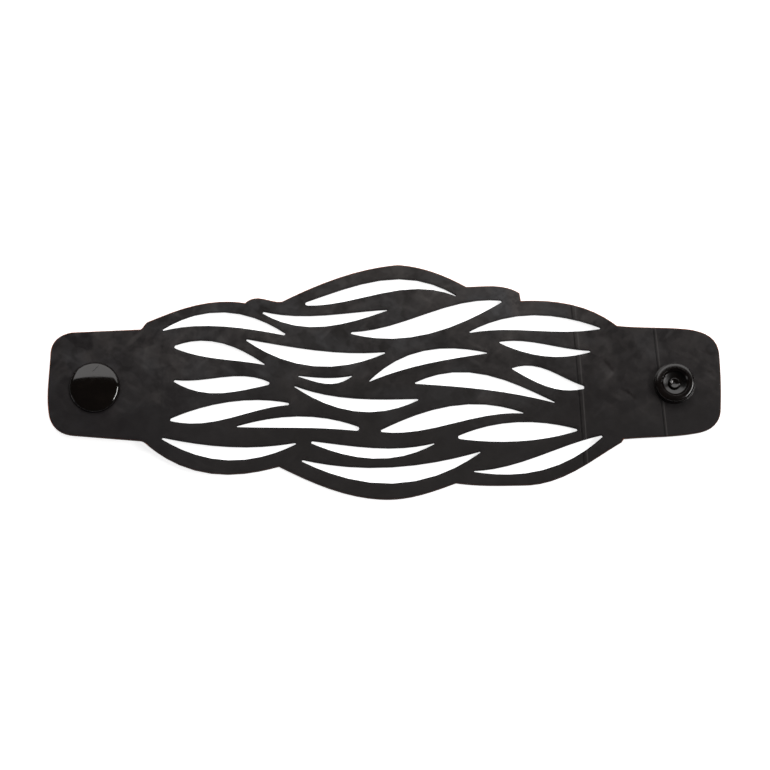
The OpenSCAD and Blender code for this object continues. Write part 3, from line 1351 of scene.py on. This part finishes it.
@dataclass
class SnapSet:
    """The four turned pieces of the two snaps, each at its packed place."""

    polish: float = 0.07
    cap: DomedCap = DomedCap()
    stud: SnapStud = SnapStud()
    socket: SnapSocket = SnapSocket()
    scratches: tuple[Scratch, ...] = (Scratch((-81.5, 2.7), 2.7, 0.28, -47),)

    def build(self) -> list[Object]:
        """Builds and dresses the caps, the stud and the socket.

        Returns:
            The finished pieces.
        """
        cap_plastic = MouldedPlastic("polished_cap_plastic", rough=self.polish, scratches=self.scratches)
        snap_plastic = MouldedPlastic("moulded_snap_plastic", colour=(0.0036, 0.0022, 0.0017), rough=0.17)
        flat_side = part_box("front_cap")[1].z / MM - self.cap.edge - self.cap.dome
        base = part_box("socket")[0].z / MM
        rows = (
            ("front_domed_cap", "front_cap", Slot.CAP, cap_plastic, self.cap.upright(flat_side)),
            ("back_domed_cap", "back_cap", Slot.CAP, cap_plastic, self.cap.lying()),
            ("snap_stud", "stud", Slot.SNAP, snap_plastic, self.stud.profile()),
            ("snap_socket", "socket", Slot.SNAP, snap_plastic, self.socket.profile(base)),
        )
        pieces = []
        for name, node, slot, finish, profile in rows:
            low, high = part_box(node)
            pieces.append(TurnedPiece(name, node, slot, finish, profile, (low + high) / 2).build())
        return pieces


@dataclass(frozen=True)
class SoftBox:
    """A studio light: its lean from straight above, its bearing, distance, size, brightness and twist.

    The bearing is counted from +X toward +Y. Lengths are in metres, and the brightness is what a camera sees.
    """

    name: str
    lean_deg: float
    bearing_deg: float
    away: float
    wide: float
    tall: float
    bright: float
    twist_deg: float = 0.0
    tone: Colour = (1.0, 0.985, 0.975)

    def hang(self) -> None:
        """Adds the light to the scene, facing the bracelet."""
        lean = math.radians(self.lean_deg)
        bearing = math.radians(self.bearing_deg)
        out = Vector((math.sin(lean) * math.cos(bearing), math.sin(lean) * math.sin(bearing), math.cos(lean)))
        data = bpy.data.lights.new(self.name, "AREA")
        data.shape = "RECTANGLE"
        data.size = self.wide
        data.size_y = self.tall
        data.energy = self.bright * math.pi * self.wide * self.tall
        data.color = self.tone
        lamp = bpy.data.objects.new(self.name, data)
        lamp.location = out * self.away
        twist = Quaternion((0, 0, 1), math.radians(self.twist_deg))
        lamp.rotation_euler = (out.to_track_quat("Z", "Y") @ twist).to_euler()
        bpy.context.scene.collection.objects.link(lamp)


@dataclass(frozen=True)
class Studio:
    """A plain pale floor, soft lights and the camera of the photograph."""

    floor_side: float = 9.0
    floor_drop: float = 0.03
    floor_tone: Colour = (0.9, 0.9, 0.9)
    floor_cloud: Grain = Grain(3, 2, 0.5)
    cloud_tone: float = 0.985
    floor_glow: float = 0.82
    room_tone: Colour = (1.0, 0.99, 0.985)
    dim: float = 0.042
    ring: float = 0.05
    ring_from: float = 0.84
    ring_to: float = 0.62
    camera_elevation_deg: float = 80.0
    lens: float = 120.0
    frame_mm: float = 217.9
    aim: Place = (0.07, -1.24, 2.4)
    boxes: tuple[SoftBox, ...] = (
        SoftBox("back_window", 41.5, 90, 0.95, 1.6, 0.68, 2.3),
        SoftBox("right_key", 36.5, -5, 1.8, 0.85, 0.15, 26.0, -12),
        SoftBox("left_box", 76, 196, 1.4, 0.4, 0.3, 1.2),
    )

    def lay_floor(self) -> Object:
        """Lays a table that is lit from within.

        Returns:
            The floor.
        """
        Bench.clear_selection()
        bpy.ops.mesh.primitive_plane_add(size=self.floor_side, location=(0, 0, -self.floor_drop * MM))
        floor = bpy.context.object
        floor.name = "floor"
        floor.data.transform(floor.matrix_world)
        floor.matrix_world = Matrix.Identity(4)
        w = Wiring("pale_floor")
        clouded = tuple(self.cloud_tone * c for c in self.floor_tone)
        tone = w.blend(w.noise(self.floor_cloud), self.floor_tone, clouded)
        floor.data.materials.append(w.finish(Base_Color=tone, Roughness=0.95, Specular_IOR_Level=0.1,
                                             Emission_Color=(1, 1, 1, 1), Emission_Strength=self.floor_glow))
        return floor

    def light(self) -> None:
        """Hangs the lights and sets the dim room round them, a little darker overhead."""
        world = bpy.data.worlds.new("dim_room")
        world.use_nodes = True
        tree = world.node_tree
        place = tree.nodes.new("ShaderNodeTexCoord")
        parts = tree.nodes.new("ShaderNodeSeparateXYZ")
        reach = tree.nodes.new("ShaderNodeMapRange")
        reach.interpolation_type = "SMOOTHSTEP"
        for name, value in {"From Min": self.ring_to, "From Max": self.ring_from, "To Min": self.ring,
                            "To Max": self.dim}.items():
            reach.inputs[name].default_value = value
        tree.links.new(place.outputs["Generated"], parts.inputs[0])
        tree.links.new(parts.outputs["Z"], reach.inputs["Value"])
        tree.links.new(reach.outputs["Result"], tree.nodes["Background"].inputs["Strength"])
        tree.nodes["Background"].inputs["Color"].default_value = (*self.room_tone, 1)
        bpy.context.scene.world = world
        bpy.context.scene.view_settings.view_transform = "Standard"
        for box in self.boxes:
            box.hang()

    def stand_camera(self) -> Object:
        """Stands the camera where it looks down at the photograph's angle.

        Returns:
            The camera.
        """
        data = bpy.data.cameras.new("camera")
        data.lens = self.lens
        data.sensor_width = 36.0
        data.clip_start = 0.01
        data.clip_end = 50.0
        camera = bpy.data.objects.new("camera", data)
        away = self.frame_mm * MM * self.lens / data.sensor_width
        up = math.radians(self.camera_elevation_deg)
        back = Vector((0, -math.cos(up), math.sin(up)))
        camera.location = Vector(self.aim) * MM + back * away
        camera.rotation_mode = "QUATERNION"
        camera.rotation_quaternion = back.to_track_quat("Z", "Y")
        bpy.context.scene.collection.objects.link(camera)
        bpy.context.scene.camera = camera
        return camera


def main() -> None:
    """Builds the camera, the floor, the lights and the bracelet, and logs each piece."""
    logging.basicConfig(level=logging.INFO, format="%(message)s")
    studio = Studio()
    studio.stand_camera()
    studio.lay_floor()
    studio.light()
    for piece in (PiercedStrap().build(), *SnapSet().build()):
        LOG.info("%s: %d faces", piece.name, len(piece.data.polygons))


if __name__ == "__main__":
    main()
